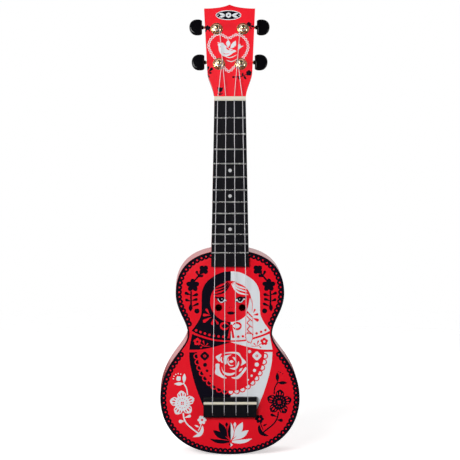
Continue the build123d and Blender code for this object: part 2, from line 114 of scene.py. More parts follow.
def makeSurfaceDrift():
    # slow cloudy change of a colour and of its shine, as on any handled surface
    group, start, end = newGroup("surfaceDrift", [
        ("Color", "NodeSocketColor", (0.5, 0.5, 0.5, 1)), ("Amount", "NodeSocketFloat", 0.1),
        ("Scale", "NodeSocketFloat", 12.0), ("Roughness", "NodeSocketFloat", 0.3),
        ("Roughness Drift", "NodeSocketFloat", 0.05)],
        [("Color", "NodeSocketColor"), ("Roughness", "NodeSocketFloat")])
    place = addNode(group, "ShaderNodeTexCoord", (-900, -300))
    cloud = addNode(group, "ShaderNodeTexNoise", (-650, -200), {"Detail": 5.0, "Roughness": 0.6})
    dim = addNode(group, "ShaderNodeMapRange", (-400, 0), {"To Min": 1.0, "To Max": 1.0})
    low = addNode(group, "ShaderNodeMath", (-600, 100), {0: 1.0}, operation="SUBTRACT")
    high = addNode(group, "ShaderNodeMath", (-600, 250), {0: 1.0}, operation="ADD")
    tint = addNode(group, "ShaderNodeVectorMath", (100, 150), operation="SCALE")
    centred = addNode(group, "ShaderNodeMath", (-300, -300), {1: 0.5}, operation="SUBTRACT")
    drift = addNode(group, "ShaderNodeMath", (-100, -300), operation="MULTIPLY")
    rough = addNode(group, "ShaderNodeMath", (150, -250), operation="ADD", use_clamp=True)
    link(group, place.outputs["Object"], cloud.inputs["Vector"])
    link(group, start.outputs["Scale"], cloud.inputs["Scale"])
    link(group, start.outputs["Amount"], low.inputs[1])
    link(group, start.outputs["Amount"], high.inputs[1])
    link(group, cloud.outputs["Fac"], dim.inputs["Value"])
    link(group, low.outputs[0], dim.inputs["To Min"])
    link(group, high.outputs[0], dim.inputs["To Max"])
    link(group, start.outputs["Color"], tint.inputs[0])
    link(group, dim.outputs["Result"], tint.inputs["Scale"])
    link(group, tint.outputs["Vector"], end.inputs["Color"])
    link(group, cloud.outputs["Fac"], centred.inputs[0])
    link(group, centred.outputs[0], drift.inputs[0])
    link(group, start.outputs["Roughness Drift"], drift.inputs[1])
    link(group, drift.outputs[0], rough.inputs[0])
    link(group, start.outputs["Roughness"], rough.inputs[1])
    link(group, rough.outputs[0], end.inputs["Roughness"])
    return group


def makeFineSkin():
    # height of a sprayed or moulded skin: fine ripple with a little grit on top
    group, start, end = newGroup("fineSkin", [
        ("Ripple Scale", "NodeSocketFloat", 400.0), ("Grit Scale", "NodeSocketFloat", 2500.0),
        ("Grit", "NodeSocketFloat", 0.25)], [("Height", "NodeSocketFloat")])
    place = addNode(group, "ShaderNodeTexCoord", (-900, -300))
    ripple = addNode(group, "ShaderNodeTexNoise", (-600, 100), {"Detail": 2.0})
    grit = addNode(group, "ShaderNodeTexNoise", (-600, -200), {"Detail": 3.0})
    share = addNode(group, "ShaderNodeMath", (-300, -200), operation="MULTIPLY")
    total = addNode(group, "ShaderNodeMath", (0, 0), operation="ADD")
    link(group, place.outputs["Object"], ripple.inputs["Vector"])
    link(group, place.outputs["Object"], grit.inputs["Vector"])
    link(group, start.outputs["Ripple Scale"], ripple.inputs["Scale"])
    link(group, start.outputs["Grit Scale"], grit.inputs["Scale"])
    link(group, grit.outputs["Fac"], share.inputs[0])
    link(group, start.outputs["Grit"], share.inputs[1])
    link(group, ripple.outputs["Fac"], total.inputs[0])
    link(group, share.outputs[0], total.inputs[1])
    link(group, total.outputs[0], end.inputs["Height"])
    return group


def makeWoodGrain():
    # long streaks up the neck's direction, with short pores between them
    group, start, end = newGroup("woodGrain", [
        ("Light", "NodeSocketColor", (0.6, 0.4, 0.2, 1)), ("Dark", "NodeSocketColor", (0.4, 0.25, 0.1, 1)),
        ("Streak Scale", "NodeSocketFloat", 120.0), ("Stretch", "NodeSocketVector", (1.0, 1.0, 0.06))],
        [("Color", "NodeSocketColor"), ("Height", "NodeSocketFloat"), ("Pores", "NodeSocketFloat")])
    place = addNode(group, "ShaderNodeTexCoord", (-900, -300))
    longways = addNode(group, "ShaderNodeVectorMath", (-700, -200), operation="MULTIPLY")
    streak = addNode(group, "ShaderNodeTexNoise", (-450, 100),
                     {"Detail": 6.0, "Roughness": 0.65, "Distortion": 0.4})
    poreScale = addNode(group, "ShaderNodeMath", (-650, -400), {1: 7.0}, operation="MULTIPLY")
    pores = addNode(group, "ShaderNodeTexNoise", (-450, -300), {"Detail": 2.0})
    poreMask = addNode(group, "ShaderNodeMapRange", (-200, -300),
                       {"From Min": 0.56, "From Max": 0.66, "To Min": 0.0, "To Max": 1.0})
    blend = addNode(group, "ShaderNodeMix", (100, 150), data_type="RGBA")
    depth = addNode(group, "ShaderNodeMath", (100, -150), operation="SUBTRACT")
    link(group, place.outputs["Object"], longways.inputs[0])
    link(group, start.outputs["Stretch"], longways.inputs[1])
    link(group, longways.outputs["Vector"], streak.inputs["Vector"])
    link(group, longways.outputs["Vector"], pores.inputs["Vector"])
    link(group, start.outputs["Streak Scale"], streak.inputs["Scale"])
    link(group, start.outputs["Streak Scale"], poreScale.inputs[0])
    link(group, poreScale.outputs[0], pores.inputs["Scale"])
    link(group, pores.outputs["Fac"], poreMask.inputs["Value"])
    link(group, streak.outputs["Fac"], blend.inputs["Factor"])
    link(group, start.outputs["Dark"], blend.inputs[6])
    link(group, start.outputs["Light"], blend.inputs[7])
    link(group, streak.outputs["Fac"], depth.inputs[0])
    link(group, poreMask.outputs["Result"], depth.inputs[1])
    link(group, blend.outputs[2], end.inputs["Color"])
    link(group, depth.outputs[0], end.inputs["Height"])
    link(group, poreMask.outputs["Result"], end.inputs["Pores"])
    return group


surfaceDrift, fineSkin, woodGrain = makeSurfaceDrift(), makeFineSkin(), makeWoodGrain()
print("shared effects ready")

# materials, one for each finish


def newMaterial(name, shader):
    material = bpy.data.materials.new(name)
    material.use_nodes = True
    principled = material.node_tree.nodes["Principled BSDF"]
    for key, value in shader.items():
        principled.inputs[key].default_value = value
    return material, material.node_tree, principled


def useGroup(tree, group, place, values):
    node = addNode(tree, "ShaderNodeGroup", place, None, node_tree=group)
    for key, value in values.items():
        node.inputs[key].default_value = value
    return node


def coloured(tree, principled, color, drift):
    # drift is (amount, scale, roughness, roughness drift)
    amount, scale, rough, roughDrift = drift
    node = useGroup(tree, surfaceDrift, (-500, 200), {
        "Color": (*color, 1), "Amount": amount, "Scale": scale, "Roughness": rough,
        "Roughness Drift": roughDrift})
    link(tree, node.outputs["Color"], principled.inputs["Base Color"])
    link(tree, node.outputs["Roughness"], principled.inputs["Roughness"])
    return node


def bumped(tree, principled, heightSocket, strength, distance):
    bump = addNode(tree, "ShaderNodeBump", (-200, -300), {"Strength": strength, "Distance": distance})
    link(tree, heightSocket, bump.inputs["Height"])
    link(tree, bump.outputs["Normal"], principled.inputs["Normal"])


def skinned(tree, principled, ripple, grit, share, strength, distance):
    node = useGroup(tree, fineSkin, (-500, -300), {"Ripple Scale": ripple, "Grit Scale": grit, "Grit": share})
    bumped(tree, principled, node.outputs["Height"], strength, distance)


finishes = {
    "red_lacquer": {"color": (0.72, 0.005, 0.016), "drift": (0.05, 9.0, 0.20, 0.06),
                    "shader": {"Coat Weight": 0.2, "Coat Roughness": 0.06, "Specular IOR Level": 0.4},
                    "skin": (260.0, 2600.0, 0.08, 0.10, 0.0004)},
    "red_print": {"color": (0.77, 0.005, 0.017), "drift": (0.04, 9.0, 0.26, 0.06),
                  "shader": {"Specular IOR Level": 0.3, "Coat Weight": 0.15, "Coat Roughness": 0.12},
                  "skin": (300.0, 2600.0, 0.15, 0.10, 0.0003)},
    "black_print": {"color": (0.0035, 0.0022, 0.0075), "drift": (0.15, 14.0, 0.24, 0.08),
                    "shader": {"Specular IOR Level": 0.15, "Coat Weight": 0.06, "Coat Roughness": 0.1},
                    "skin": (300.0, 2600.0, 0.15, 0.10, 0.0003)},
    "white_print": {"color": (0.66, 0.685, 0.72), "drift": (0.03, 14.0, 0.30, 0.08),
                    "shader": {"Coat Weight": 0.35, "Coat Roughness": 0.12},
                    "skin": (300.0, 2600.0, 0.15, 0.10, 0.0003)},
    "fret_wire": {"color": (0.72, 0.71, 0.69), "drift": (0.08, 60.0, 0.28, 0.12),
                  "shader": {"Metallic": 1.0}, "skin": (900.0, 6000.0, 0.5, 0.10, 0.00005)},
    "dot_plastic": {"color": (0.52, 0.52, 0.53), "drift": (0.12, 300.0, 0.22, 0.1),
                    "shader": {"Coat Weight": 0.4, "Coat Roughness": 0.08},
                    "skin": (900.0, 4000.0, 0.2, 0.05, 0.0001)},
    "cream_plastic": {"color": (0.67, 0.63, 0.515), "drift": (0.05, 40.0, 0.30, 0.08),
                      "shader": {"Subsurface Weight": 0.15, "Subsurface Radius": (0.002, 0.0015, 0.001),
                                 "Subsurface Scale": 0.5},
                      "skin": (500.0, 3000.0, 0.3, 0.08, 0.0002)},
    "gold_plate": {"color": (0.92, 0.76, 0.44), "drift": (0.07, 70.0, 0.15, 0.09),
                   "shader": {"Metallic": 1.0}, "skin": (700.0, 5000.0, 0.3, 0.06, 0.0001)},
    "gear_brass": {"color": (0.80, 0.58, 0.27), "drift": (0.15, 120.0, 0.32, 0.15),
                   "shader": {"Metallic": 1.0}, "skin": (900.0, 5000.0, 0.6, 0.15, 0.0001)},
    "black_plastic": {"color": (0.0025, 0.0025, 0.0035), "drift": (0.2, 30.0, 0.12, 0.06),
                      "shader": {"Specular IOR Level": 0.2, "Coat Weight": 0.12, "Coat Roughness": 0.04},
                      "skin": (260.0, 3000.0, 0.1, 0.06, 0.0003)},
    "string_nylon": {"color": (0.74, 0.72, 0.76), "drift": (0.04, 80.0, 0.25, 0.08),
                     "shader": {"Transmission Weight": 0.25, "IOR": 1.53},
                     "skin": (800.0, 5000.0, 0.2, 0.04, 0.00005)},
}


def makeFinish(name, finish):
    material, tree, principled = newMaterial(name, finish["shader"])
    coloured(tree, principled, finish["color"], finish["drift"])
    skinned(tree, principled, *finish["skin"])
    return material


woods = {
    "black_wood": {"light": (0.0050, 0.0048, 0.0072), "dark": (0.0022, 0.0021, 0.0036), "streak": 160.0,
                   "stretch": (1.0, 1.0, 0.05), "rough": (0.36, 0.14), "bump": (0.5, 0.00012),
                   "shader": {"Specular IOR Level": 0.11}},
    "bare_wood": {"light": (0.62, 0.43, 0.25), "dark": (0.44, 0.28, 0.14), "streak": 150.0,
                  "stretch": (1.0, 1.0, 0.07), "rough": (0.75, 0.1), "bump": (0.6, 0.0003), "shader": {}},
}


def makeWood(name, wood):
    material, tree, principled = newMaterial(name, wood["shader"])
    grain = useGroup(tree, woodGrain, (-600, 100), {
        "Light": (*wood["light"], 1), "Dark": (*wood["dark"], 1), "Streak Scale": wood["streak"],
        "Stretch": wood["stretch"]})
    rough, drift = wood["rough"]
    spread = addNode(tree, "ShaderNodeMapRange", (-300, 0), {"To Min": rough, "To Max": rough + drift})
    link(tree, grain.outputs["Color"], principled.inputs["Base Color"])
    link(tree, grain.outputs["Pores"], spread.inputs["Value"])
    link(tree, spread.outputs["Result"], principled.inputs["Roughness"])
    bumped(tree, principled, grain.outputs["Height"], *wood["bump"])
    return material


materials = {name: makeFinish(name, finish) for name, finish in finishes.items()}
materials.update({name: makeWood(name, wood) for name, wood in woods.items()})
for nodeName, node in frame["nodes"].items():
    if not node.material_slots:
        node.data.materials.append(None)
    for socket in node.material_slots:
        socket.material = materials[slotOf[nodeName]]
print("materials on", len(frame["nodes"]), "nodes")

# pieces finished from the frame's own shapes


def deselect():
    if bpy.context.object and bpy.context.object.mode != "OBJECT":
        bpy.ops.object.mode_set(mode="OBJECT")
    bpy.ops.object.select_all(action="DESELECT")


def pick(piece):
    deselect()
    piece.select_set(True)
    bpy.context.view_layer.objects.active = piece


def polished(nodeName, angle=30.0):
    # a welded copy of a frame piece, shaded smooth across its curves and crisp at its edges
    source = frame["nodes"][nodeName]
    piece = source.copy()
    piece.data = source.data.copy()
    piece.name = nodeName + ".polished"
    for key in list(piece.keys()):
        if key.startswith("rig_"):
            del piece[key]
    piece.parent = None
    bpy.context.scene.collection.objects.link(piece)
    pick(piece)
    if piece.data.has_custom_normals:
        bpy.ops.mesh.customdata_custom_splitnormals_clear()
    bpy.ops.object.mode_set(mode="EDIT")
    bpy.ops.mesh.select_all(action="SELECT")
    bpy.ops.mesh.remove_doubles(threshold=0.002 * mm)
    bpy.ops.object.mode_set(mode="OBJECT")
    bpy.ops.object.shade_smooth_by_angle(angle=math.radians(angle))
    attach(piece, bodyOf[nodeName])
    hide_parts(nodeName)
    return piece


strings = ("g", "c", "e", "a")
smoothNodes = ["soundboard", "back", "rib_left", "rib_right", "neck", "headstock", "headstock_overlay",
               "frets",
               "fret_dots", "nut", "bridge", "saddle", "fretboard", "tuner_screws"]
smoothNodes += [f"{name}_{part}" for name in strings
                for part in ("bushing", "post", "gear", "gear_screw", "worm_shaft", "button", "tuner_plate",
                             "winding", "string")]
for nodeName in smoothNodes:
    polished(nodeName)
print("polished", len(smoothNodes), "pieces")

# printed films, drawn as simple shapes in mm and laid over each other from the lowest up


def disc(x, z, r, count=24):
    return [(x + r * math.cos(2 * math.pi * i / count), z + r * math.sin(2 * math.pi * i / count))
            for i in range(count)]


def oval(x, z, halfX, halfZ, turn=0.0, count=26):
    c, s = math.cos(math.radians(turn)), math.sin(math.radians(turn))
    return [(x + u * c - v * s, z + u * s + v * c) for u, v in disc(0, 0, 1, count)
            for u, v in [(u * halfX, v * halfZ)]]


def curve(points, closed=False, steps=6):
    # rounded run through the points
    out = []
    count = len(points)
    for i in range(count if closed else count - 1):
        a, b, c, d = (points[(i + k) % count] if closed else points[min(max(i + k, 0), count - 1)]
                      for k in (-1, 0, 1, 2))
        for step in range(steps):
            t = step / steps
            out.append(tuple(0.5 * (2 * q + (r - p) * t + (2 * p - 5 * q + 4 * r - s) * t * t
                                    + (3 * q - p - 3 * r + s) * t ** 3) for p, q, r, s in zip(a, b, c, d)))
    if not closed:
        out.append(points[-1])
    return out


def blob(*points):
    return curve(list(points), closed=True, steps=4)


def stroke(points, width, taper=0.0, steps=5):
    # a line of even width, or one that thins toward its end
    path = curve(points, steps=steps)
    left, right = [], []
    for i, (x, z) in enumerate(path):
        ahead, behind = path[min(i + 1, len(path) - 1)], path[max(i - 1, 0)]
        dx, dz = ahead[0] - behind[0], ahead[1] - behind[1]
        size = math.hypot(dx, dz) or 1.0
        half = 0.5 * width * (1 - taper * i / (len(path) - 1))
        left.append((x - dz / size * half, z + dx / size * half))
        right.append((x + dz / size * half, z - dx / size * half))
    return left + right[::-1]


def strand(points, width):
    # a line that is thin at both ends
    path = curve(points, steps=5)
    last = len(path) - 1
    left, right = [], []
    for i, (x, z) in enumerate(path):
        ahead, behind = path[min(i + 1, last)], path[max(i - 1, 0)]
        dx, dz = ahead[0] - behind[0], ahead[1] - behind[1]
        size = math.hypot(dx, dz) or 1.0
        half = 0.5 * width * (0.12 + 0.88 * math.sin(math.pi * i / last) ** 0.7)
        left.append((x - dz / size * half, z + dx / size * half))
        right.append((x + dz / size * half, z - dx / size * half))
    return left + right[::-1]


def leaf(base, tip, width, swell=0.55, bend=0.0):
    # pointed leaf, widest a little past its middle
    dx, dz = tip[0] - base[0], tip[1] - base[1]
    out = []
    for side in (1, -1):
        run = range(15) if side > 0 else range(14, -1, -1)
        for i in run:
            t = i / 14
            half = 0.5 * width * math.sin(math.pi * t ** (math.log(0.5) / math.log(swell)))
            off = bend * math.sin(math.pi * t)
            size = math.hypot(dx, dz)
            nx, nz = -dz / size, dx / size
            out.append((base[0] + dx * t + nx * (side * half + off),
                        base[1] + dz * t + nz * (side * half + off)))
    return [p for i, p in enumerate(out) if math.dist(p, out[i - 1]) > 1e-3]


def petal(base, tip, width):
    # round-ended drop
    dx, dz = tip[0] - base[0], tip[1] - base[1]
    size = math.hypot(dx, dz)
    ux, uz = dx / size, dz / size
    r = width / 2
    out = [base]
    for i in range(17):
        angle = math.radians(-100 + 12.5 * i)
        along, across = size - r + r * math.cos(angle), r * math.sin(angle)
        out.append((base[0] + ux * along - uz * across, base[1] + uz * along + ux * across))
    return out


def lobes(x, z, count, r, lobe, turn=0.0):
    # round-petalled flower as overlapping discs
    shapes = [disc(x + r * math.cos(math.radians(turn + 360 * k / count)),
                   z + r * math.sin(math.radians(turn + 360 * k / count)), lobe, 22) for k in range(count)]
    return shapes + [disc(x, z, r, 20)]


def star(x, z, outer, inner, turn=90.0, count=5):
    out = []
    for k in range(count):
        mid = math.radians(turn + 360 * k / count)
        half = math.pi / count
        for swing, r in ((-half, inner), (-0.62 * half, 0.84 * outer), (-0.25 * half, 0.97 * outer),
                         (0, outer),
                         (0.25 * half, 0.97 * outer), (0.62 * half, 0.84 * outer)):
            out.append((x + r * math.cos(mid + swing), z + r * math.sin(mid + swing)))
    return out


class Sheet:
    # shapes in painter's order: black, white, or red where the lacquer shows
    def __init__(self):
        self.shapes = []

    def add(self, ink, *shapes):
        self.shapes += [(ink, shape) for shape in shapes]

    def pair(self, left, right, *shapes, lift=0.0):
        for shape in shapes:
            self.shapes += [(left, shape), (right, [(-x, z + lift) for x, z in shape])]


bodyEdge = {"tail": (0.0, -405.2), "tailFullness": 66.0, "lower": (79.75, -340.6), "lowerReach": (23.4, 41.5),
            "waist": (48.1, -266.4), "waistReach": (16.8, 14.5), "upper": (61.95, -219.7),
            "upperReach": (19.9, 17.1),
            "top": (0.0, -170.2), "shoulderFullness": 55.8}


def bodyOutline(edge, samples=60):
    # right half from the tail up to the neck, then the left half back down
    lx, lz = edge["lower"]
    wx, wz = edge["waist"]
    ux, uz = edge["upper"]
    spans = [
        (edge["tail"], (edge["tailFullness"], edge["tail"][1]), (lx, lz - edge["lowerReach"][0]), (lx, lz)),
        ((lx, lz), (lx, lz + edge["lowerReach"][1]), (wx, wz - edge["waistReach"][0]), (wx, wz)),
        ((wx, wz), (wx, wz + edge["waistReach"][1]), (ux, uz - edge["upperReach"][0]), (ux, uz)),
        ((ux, uz), (ux, uz + edge["upperReach"][1]), (edge["shoulderFullness"], edge["top"][1]), edge["top"])]
    right = []
    for a, b, c, d in spans:
        for i in range(samples):
            t = i / samples
            right.append(tuple((1 - t) ** 3 * p + 3 * t * (1 - t) ** 2 * q
                               + 3 * t * t * (1 - t) * r + t ** 3 * s
                               for p, q, r, s in zip(a, b, c, d)))
    return right + [edge["top"]] + [(-x, z) for x, z in right[:0:-1]]


def drawnIn(outline, depths):
    # every point moved in by its own depth
    count = len(outline)
    out = []
    for i, (x, z) in enumerate(outline):
        (ax, az), (bx, bz) = outline[i - 1], outline[(i + 1) % count]
        dx, dz = bx - ax, bz - az
        size = math.hypot(dx, dz)
        out.append((x - dz / size * depths[i], z + dx / size * depths[i]))
    return out


def spaced(points, pitch, closed=True):
    # evenly spaced places along a run of points
    loop = points + [points[0]] if closed else points
    total = sum(math.dist(p, q) for p, q in zip(loop, loop[1:]))
    count = max(2, round(total / pitch))
    step = total / count
    out, wait = [], 0.0
    for p, q in zip(loop, loop[1:]):
        size = math.dist(p, q)
        while wait < size - 1e-9 and len(out) < count + (0 if closed else 1):
            t = wait / size
            out.append((p[0] + (q[0] - p[0]) * t, p[1] + (q[1] - p[1]) * t))
            wait += step
        wait -= size
    if not closed and len(out) <= count:
        out.append(points[-1])
    return out


border = {"edgeIn": 0.12, "lineIn": 3.9, "waistIn": 1.9, "scallopRadius": 3.2, "pitch": 5.5, "dotRadius": 1.0,
          "waistTop": -258.0, "waistBottom": -287.5}


def drawBorder(sheet, values):
    # the drawing's own axis is a little off the body's, so the edge is moved to match
    outline = [(x - printShift, z) for x, z in bodyOutline(bodyEdge)]

    def depth(z):
        inside = min(values["waistTop"] - z, z - values["waistBottom"])
        blend = min(max(inside / 3.0 + 0.5, 0.0), 1.0)
        return values["lineIn"] + (values["waistIn"] - values["lineIn"]) * blend

    sheet.add("black", drawnIn(outline, [values["edgeIn"]] * len(outline)))
    sheet.add("red", drawnIn(outline, [depth(z) for x, z in outline]))
    centres = [(x, z) for x, z in spaced(drawnIn(outline, [values["lineIn"]] * len(outline)), values["pitch"])
               if not values["waistBottom"] < z < values["waistTop"]]
    sheet.add("black", *[disc(x, z, values["scallopRadius"], 26) for x, z in centres])
    sheet.add("red", *[disc(x, z, values["dotRadius"], 14) for x, z in centres])


shawl = {
    "side": [(0, -194.4), (-9.7, -195.5), (-19.3, -200), (-27.3, -206.4), (-31.8, -214.4), (-33.1, -222.4),
             (-33.4, -240), (-34.5, -246.5), (-37.8, -252.9), (-41, -257.7), (-44.8, -262.7)],
    "hem": [(-44.8, -262.7), (-37, -266.6), (-27.3, -269.8), (-19.3, -272.2), (-9.7, -273.3), (0, -273.6)],
    "collar": [(-44.2, -266.2), (-36, -269.4), (-27, -272.2), (-19, -274.2), (-9.7, -275.2), (0, -275.4)],
    "collarHem": [(-47.6, -284.3), (-36, -284.2), (-24, -282.3), (-12, -279.2), (0, -275.7)],
    "body": [(-47.6, -287.2), (-46.6, -300.5), (-42.2, -319.7), (-37, -335.5), (-31, -350.4)],
    "dotRadius": 1.5, "dotPitch": 5.1,
}


def drawDoll(sheet, values):
    half = curve(values["side"]) + curve(values["hem"])[1:]
    sheet.pair("black", "white", half)
    collar = curve(values["collar"]) + curve(values["collarHem"])[::-1]
    sheet.pair("black", "white", [p for i, p in enumerate(collar) if math.dist(p, collar[i - 1]) > 0.05])
    sheet.pair("black", "white", curve(values["body"]) + [(-29, -355), (0, -355), (0, -287.2)])
    dots = spaced([(-39.6, -262.0), (-33, -264.6), (-25, -267.2), (-17, -268.8), (-8.5, -269.4)],
                  values["dotPitch"], closed=False)
    sheet.pair("red", "red", *[disc(x, z, values["dotRadius"], 12) for x, z in dots])


apron = {"centre": (0, -285.0), "half": (39.5, 48.0), "loop": 3.6, "moon": 2.35, "pitch": 6.9, "line": 1.0}


def drawApron(sheet, values):
    (cx, cz), (a, b) = values["centre"], values["half"]
    rim = [(cx + a * math.cos(t), cz + b * math.sin(t)) for t in
           (math.radians(180 + 180 * i / 60) for i in range(61))]
    loops = spaced(rim, values["pitch"], closed=False)
    sheet.add("red", *[disc(x, z, values["loop"], 16) for x, z in loops if z < -287])
    for x, z in loops:
        if z < -287:
            sheet.add("black" if x < 0 else "white", disc(x, z, values["moon"], 14))
    inner = [(cx + (a - values["line"]) * math.cos(t), cz + (b - values["line"]) * math.sin(t)) for t in
             (math.radians(180 + 180 * i / 60) for i in range(61))]
    sheet.add("red", [(x, z) for x, z in inner if z < -287.2] + [(a - 1, -287.2), (1 - a, -287.2)])
    sheet.pair("black", "white", *lobes(-29.8, -291.6, 4, 2.9, 2.25, 0))
    sheet.pair("black", "white", *lobes(-29.8, -291.6, 4, 2.5, 1.9, 45))
    sheet.pair("red", "red", oval(-29.8, -291.6, 1.7, 1.7, 0, 12))
    sheet.pair("black", "white", disc(-29.8, -291.6, 0.7, 8))
    for x, z, r in ((-29.5, -301.8, 2.3), (-27.1, -308.6, 1.6), (-23.4, -314.5, 1.1)):
        sheet.add("black", disc(x, z, r))
    for x, z, r in ((21.5, -286.6, 1.8), (29.7, -301.6, 2.4), (27.1, -308.3, 1.8), (23.9, -314.4, 1.3),
                    (19.9, -319.1, 1.0)):
        sheet.add("white", disc(x, z, r))


face = {"centre": (0, -229.0), "radius": 23.6,
        "strands": [[(-3.2, -206.6), (-8.0, -211.4), (-18.3, -214.6)],
                    [(-2.0, -207.4), (-6.9, -213.9), (-18.8, -218.0)],
                    [(-0.7, -208.2), (-4.8, -215.2), (-10.5, -219.4), (-20.2, -221.4)]]}


def drawFace(sheet, values):
    x, z = values["centre"]
    sheet.add("red", disc(x, z, values["radius"], 64))
    for points in values["strands"]:
        sheet.pair("black", "white", strand(points, 2.1))
    sheet.pair("black", "white", strand([(-5.5, -206.6), (-12, -208.6), (-17.2, -212.2)], 1.6))
    for side in (-1, 1):
        def at(points):
            return [(side * (u + 10.6), 1.25 * v - 226.9) for u, v in points]
        sheet.add("black", curve(at([(-6.2, -0.9), (-3.6, 1.7), (0, 2.9), (3.6, 2.5), (7.4, 2.6), (5.4, 0.6),
                                     (3.9, -1.6), (0.6, -3.1), (-2.9, -2.4)]), closed=True, steps=4))
        sheet.add("white",
                  stroke(at([(-5.4, -0.9), (-3.0, -0.9), (-1.2, -2.2), (1.4, -2.2), (3.4, -0.4),
                             (4.2, 1.0)]), 0.95))
        sheet.add("white", blob(*at([(-5.6, -0.8), (-3.4, 0.7), (-2.8, -1.0)])))
        sheet.add("white", disc(10.2 * side, -226.2, 0.55, 12))
    sheet.add("white", disc(15.4, -226.3, 0.75, 10))
    sheet.pair("black", "black", disc(-1.25, -235.7, 0.42, 8))
    sheet.add("black",
              [(-5.0, -242.1), (-2.4, -240.7), (-0.9, -240.4), (0, -240.8), (0.9, -240.4), (2.4, -240.7),
                        (5.0, -242.1), (2.6, -243.7), (0, -244.2), (-2.6, -243.7)])


braid = {"path": [(20.2, -239.5), (20.9, -250), (21.3, -262), (21.2, -268)], "width": 7.6}


def drawBraid(sheet, values):
    # hair beside the face, then plaited, banded and tied
    sheet.add("red", strand([(22.4, -226.0), (21.0, -233.0), (18.2, -239.6)], 1.2))
    sheet.add("white",
              blob((21.9, -225.0), (23.6, -231.5), (24.2, -239.5), (21.6, -243.0), (18.6, -240.6),
                   (19.8, -234.5)))
    sheet.add("red", strand([(24.3, -226.5), (24.7, -234), (24.2, -241)], 0.7))
    sheet.add("red", stroke([(18.3, -240.0), (21.4, -243.8), (24.6, -247.0)], 1.5))
    sheet.add("red", stroke([(16.9, -247.0), (16.9, -262.0), (16.6, -271.0)], 0.55),
              stroke([(24.9, -246.0), (25.3, -262.0), (25.2, -268.0)], 0.55))
    for x0, z0, x1, z1 in ((18.0, -245.6, 24.4, -251.6), (22.2, -249.4, 17.6, -254.4),
                           (17.8, -253.2, 24.6, -259.0),
                           (22.4, -256.8, 18.0, -261.4), (18.2, -260.6, 24.4, -266.6)):
        sheet.add("red", stroke([(x0, z0), ((x0 + x1) / 2, (z0 + z1) / 2 - 0.2), (x1, z1)], 1.15))
    sheet.add("red", stroke([(17.6, -265.2), (20.8, -264.2), (23.8, -265.6)], 1.1))
    sheet.add("red",
              blob((17.0, -266.0), (24.4, -266.0), (25.3, -270.6), (23.2, -277.2), (21.6, -276.4),
                   (19.2, -276.0), (16.6, -270.6)))
    sheet.add("white",
              blob((17.8, -266.8), (23.8, -266.8), (24.6, -270.6), (22.6, -276.2), (21.4, -275.2),
                   (19.6, -274.8), (17.3, -270.6)))


def drawBow(sheet):
    for side, ink in ((-1, "black"), (1, "white")):
        sheet.add("red", oval(side * 7.3, -257.2, 5.2, 4.9, 0, 24))
        sheet.add(ink, leaf((side * 1.4, -257.2), (side * 11.0, -257.2), 5.2))
    sheet.add("red", disc(0.3, -257.2, 2.1, 12))
    sheet.add("red", [(-0.9, -257.0), (0.9, -259.2), (-1.2, -271.2), (-3.9, -271.2)],
              [(-0.3, -257.6), (1.9, -257.2), (4.4, -270.8), (1.7, -271.2)])


def drawFans(sheet):
    for base, tip, width in (((-24.1, -243.9), (-28.3, -237.4), 2.7), ((-22.7, -244.7), (-32.0, -244.3), 3.4),
                             ((-21.9, -246.7), (-31.8, -252.4), 3.9), ((-20.0, -248.2), (-21.3, -255.9), 3.1),
                             ((-18.1, -249.4), (-14.3, -255.0), 2.5)):
        sheet.add("red", petal(base, tip, width))
    for base, tip, width in (((25.4, -242.6), (27.9, -237.6), 2.3), ((25.2, -244.8), (31.6, -243.6), 2.9),
                             ((25.2, -248.0), (31.8, -251.2), 3.6)):
        sheet.add("red", petal(base, tip, width))


def drawCollarSprigs(sheet):
    sheet.pair("red", "red", *lobes(-38.2, -275.1, 5, 2.6, 1.9, 90))
    sheet.add("black", disc(-38.2, -275.1, 1.3, 10))
    sheet.add("white", disc(38.2, -275.1, 1.3, 10))
    sheet.pair("red", "red", stroke([(-34.6, -277.5), (-30.0, -280.3), (-23.4, -280.3)], 0.9, 0.4),
               petal((-29.8, -280.0), (-31.6, -273.8), 1.8), petal((-29.4, -280.4), (-26.0, -276.9), 1.6),
               petal((-31.5, -279.6), (-34.8, -282.4), 1.6))


rose = {"centre": (0.2, -298.1), "pieces": [
    [(-17, -292.2), (-10.5, -288.9), (-12.4, -293.5), (-12.9, -298.4), (-16.2, -294.9)],
    [(-17.3, -300.8), (-13.1, -300.8), (-13.2, -305.4), (-11.8, -310.2), (-8.7, -314.1), (-4.6, -317),
     (-8.7, -317.2),
     (-14.9, -314.1), (-18.1, -311.5), (-17.3, -306.2)],
    [(-7.8, -288.9), (-5.2, -287.4), (5.3, -287), (9.7, -288.3), (12.3, -292.7), (17.3, -298.4),
     (15.8, -300.5),
     (11.6, -302.7), (12.7, -299.2), (11.8, -294.9), (8.8, -290.9), (4.4, -288.9), (-1.7, -288.6)],
    [(-7.8, -292.2), (-5.2, -290.9), (0.9, -290), (-2.6, -292.2), (-4.3, -295.3), (-5.2, -301), (-7.8, -300)],
    [(1.8, -293.1), (4.8, -293.5), (6.2, -297), (6.2, -300.1), (4.4, -296.4)],
    [(8.8, -297.5), (9.4, -301), (7.5, -305.4), (4.4, -307.5), (-1.3, -305.8), (3.5, -305.2), (6.6, -302.7)],
    [(-10.9, -303.6), (-8.7, -308.9), (-5.2, -310.8), (0, -311.5), (4.8, -310.6), (3.5, -312.8),
     (-0.8, -314.3),
     (-5.2, -313.7), (-9.0, -310.6)],
    [(16.7, -304.5), (18, -306.7), (14, -312.4), (9.7, -317.2), (5.7, -318.3), (0.5, -316.5), (6.2, -315.4),
     (11.9, -310.6)]]}


